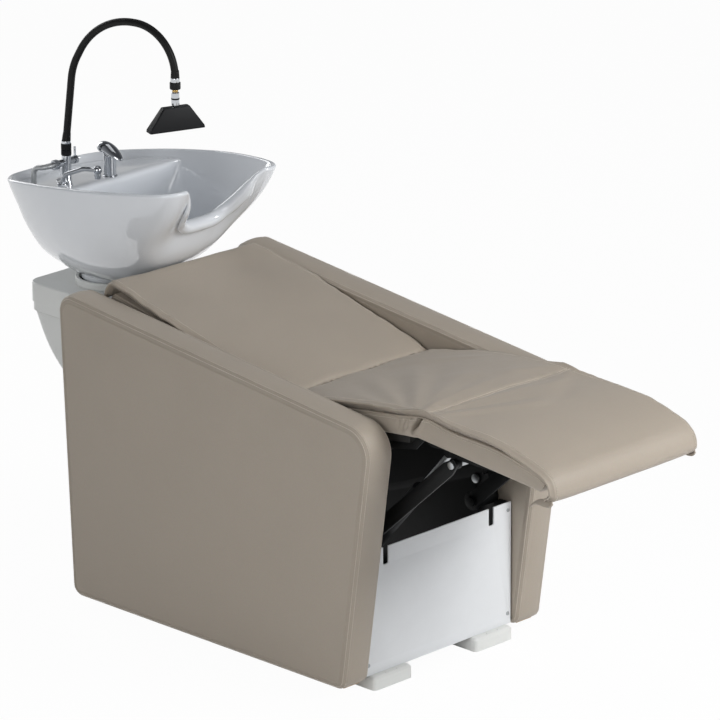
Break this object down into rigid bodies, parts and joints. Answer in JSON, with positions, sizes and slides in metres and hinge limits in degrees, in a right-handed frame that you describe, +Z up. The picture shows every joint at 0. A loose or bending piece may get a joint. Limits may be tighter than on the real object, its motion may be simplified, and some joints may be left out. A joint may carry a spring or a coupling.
{
  "type": "hair washing bed",
  "caption": "Padded hair washing bed with square side arms, a lifting leg rest and a tilting ceramic basin with a neck notch, mixer tap and gooseneck spray.",
  "frame": {"origin": "centre of the bounding box at floor level", "axes": "-Y is the foot end, +Y is the basin end, +X is across the bed to the sitter's left, +Z is up"},
  "size_m": [0.66, 1.9068, 1.367],
  "materials": {
    "leather": "taupe leatherette with fine grain, satin",
    "timber": "bare plywood",
    "black_steel": "black powder coat",
    "white_sheet": "white powder coat, satin",
    "white_plastic": "white moulded plastic, satin",
    "black_plastic": "black moulded plastic",
    "jet_rubber": "dark grey silicone jets",
    "hose_rubber": "smooth black rubber hose",
    "ceramic": "white glaze, high gloss",
    "chrome": "polished chrome plating",
    "zinc_steel": "bright zinc plated steel"
  },
  "bodies": {
    "base": {"left_arm_cover": "leather", "right_arm_cover": "leather", "arm_cores": "timber", "arm_bolts": "zinc_steel", "left_side_plate": "black_steel", "right_side_plate": "black_steel", "base_frame": "black_steel", "seat_frame": "black_steel", "back_support": "black_steel", "front_panel": "white_sheet", "panel_screws": "zinc_steel", "front_feet": "white_plastic", "rear_feet": "white_plastic", "back_mat": "leather", "seat_mat": "leather", "back_cushion": "leather", "seat_cushion": "leather", "back_board": "timber", "seat_board": "timber", "hinge_rod": "black_steel", "pivot_bolts": "zinc_steel", "control_box": "black_plastic", "pedestal_shell": "white_plastic", "pedestal_cap": "white_plastic", "basin_collar": "white_plastic", "basin_post": "black_steel"},
    "legrest": {"legrest_mat": "leather", "legrest_cushion": "leather", "legrest_board": "timber", "leg_hinges": "black_steel", "roller_tracks": "black_steel", "actuator_top_bracket": "black_steel"},
    "lift_arms": {"left_lift_arm": "black_steel", "right_lift_arm": "black_steel", "roller_shaft": "zinc_steel"},
    "left_wheel": {"left_roller": "black_plastic"},
    "right_wheel": {"right_roller": "black_plastic"},
    "actuator": {"actuator_body": "black_plastic"},
    "ram": {"actuator_rod": "zinc_steel"},
    "bowl": {"basin": "ceramic", "drain_fitting": "chrome", "basin_saddle": "black_steel", "mixer_body": "chrome", "valve_body": "chrome", "supply_pipe": "chrome", "spout_collar": "chrome"},
    "strainer": {"hair_strainer": "chrome"},
    "cartridge": {"mixer_cartridge": "chrome"},
    "mixer_handle": {"mixer_lever": "chrome"},
    "valve_handle": {"valve_lever": "chrome"},
    "spout_arm": {"spout": "chrome"},
    "nozzle": {"spout_nozzle": "chrome"},
    "gooseneck": {"hose_coupling": "black_plastic", "hose_ring": "chrome", "gooseneck_hose": "hose_rubber", "end_ring": "chrome", "end_nut": "black_plastic"},
    "stem": {"head_stem": "chrome"},
    "sprayer": {"spray_head": "black_plastic", "spray_plate": "jet_rubber"}
  },
  "joints": [
    {"name": "legrest_lift", "type": "hinge", "parent": "base", "child": "legrest", "pos_m": [0, -0.51905, 0.645], "axis": [1, 0, 0], "range_deg": [0, 51]},
    {"name": "lift_arm_swing", "type": "hinge", "parent": "base", "child": "lift_arms", "pos_m": [0, -0.30905, 0.338], "axis": [1, 0, 0], "range_deg": [0, 40.01]},
    {"name": "left_roller_spin", "type": "hinge", "parent": "lift_arms", "child": "left_wheel", "pos_m": [0, -0.58105, 0.585], "axis": [1, 0, 0], "continuous": true},
    {"name": "right_roller_spin", "type": "hinge", "parent": "lift_arms", "child": "right_wheel", "pos_m": [0, -0.58105, 0.585], "axis": [1, 0, 0], "continuous": true},
    {"name": "actuator_tilt", "type": "hinge", "parent": "base", "child": "actuator", "pos_m": [-0.14, -0.13805, 0.13], "axis": [1, 0, 0], "range_deg": [-3.21, 0]},
    {"name": "actuator_extend", "type": "slide", "parent": "actuator", "child": "ram", "axis": [0, -0.6545, 0.7561], "range_m": [-0.0305, 0]},
    {"name": "basin_tilt", "type": "hinge", "parent": "base", "child": "bowl", "pos_m": [0, 0.77595, 0.686], "axis": [1, 0, 0], "range_deg": [-10, 0]},
    {"name": "strainer_lift", "type": "slide", "parent": "bowl", "child": "strainer", "axis": [0, 0, 1], "range_m": [0, 0.05]},
    {"name": "mixer_turn", "type": "hinge", "parent": "bowl", "child": "cartridge", "pos_m": [0, 0.71845, 1], "axis": [0, 0, 1], "range_deg": [-45, 45]},
    {"name": "mixer_lift", "type": "hinge", "parent": "cartridge", "child": "mixer_handle", "pos_m": [0, 0.72895, 1.015], "axis": [1, 0, 0], "range_deg": [-18, 0]},
    {"name": "valve_turn", "type": "hinge", "parent": "bowl", "child": "valve_handle", "pos_m": [-0.035, 0.80595, 0.981], "axis": [1, 0, 0], "range_deg": [0, 90]},
    {"name": "spout_swivel", "type": "hinge", "parent": "bowl", "child": "spout_arm", "pos_m": [-0.117, 0.75795, 0.94367], "axis": [0, 0, 1], "range_deg": [-10, 25]},
    {"name": "nozzle_tilt", "type": "hinge", "parent": "spout_arm", "child": "nozzle", "pos_m": [-0.08, 0.67595, 0.99167], "axis": [0.9115, 0.4113, 0], "range_deg": [-12, 12]},
    {"name": "gooseneck_swivel", "type": "hinge", "parent": "bowl", "child": "gooseneck", "pos_m": [-0.06, 0.80595, 1.01], "axis": [0, 0, 1], "range_deg": [-60, 60]},
    {"name": "head_turn", "type": "hinge", "parent": "gooseneck", "child": "stem", "pos_m": [-0.00575, 0.48344, 1.2], "axis": [0, 0, 1], "continuous": true},
    {"name": "head_tilt", "type": "hinge", "parent": "stem", "child": "sprayer", "pos_m": [-0.00575, 0.48344, 1.166], "axis": [0.9397, -0.342, 0], "range_deg": [-18, 18]}
  ],
  "couplings": [
    {"joint": "lift_arm_swing", "follows": "legrest_lift", "ratio": 0.78431},
    {"joint": "actuator_tilt", "follows": "legrest_lift", "ratio": -0.06188},
    {"joint": "actuator_extend", "follows": "legrest_lift", "m_per_rad": -0.034114}
  ]
}
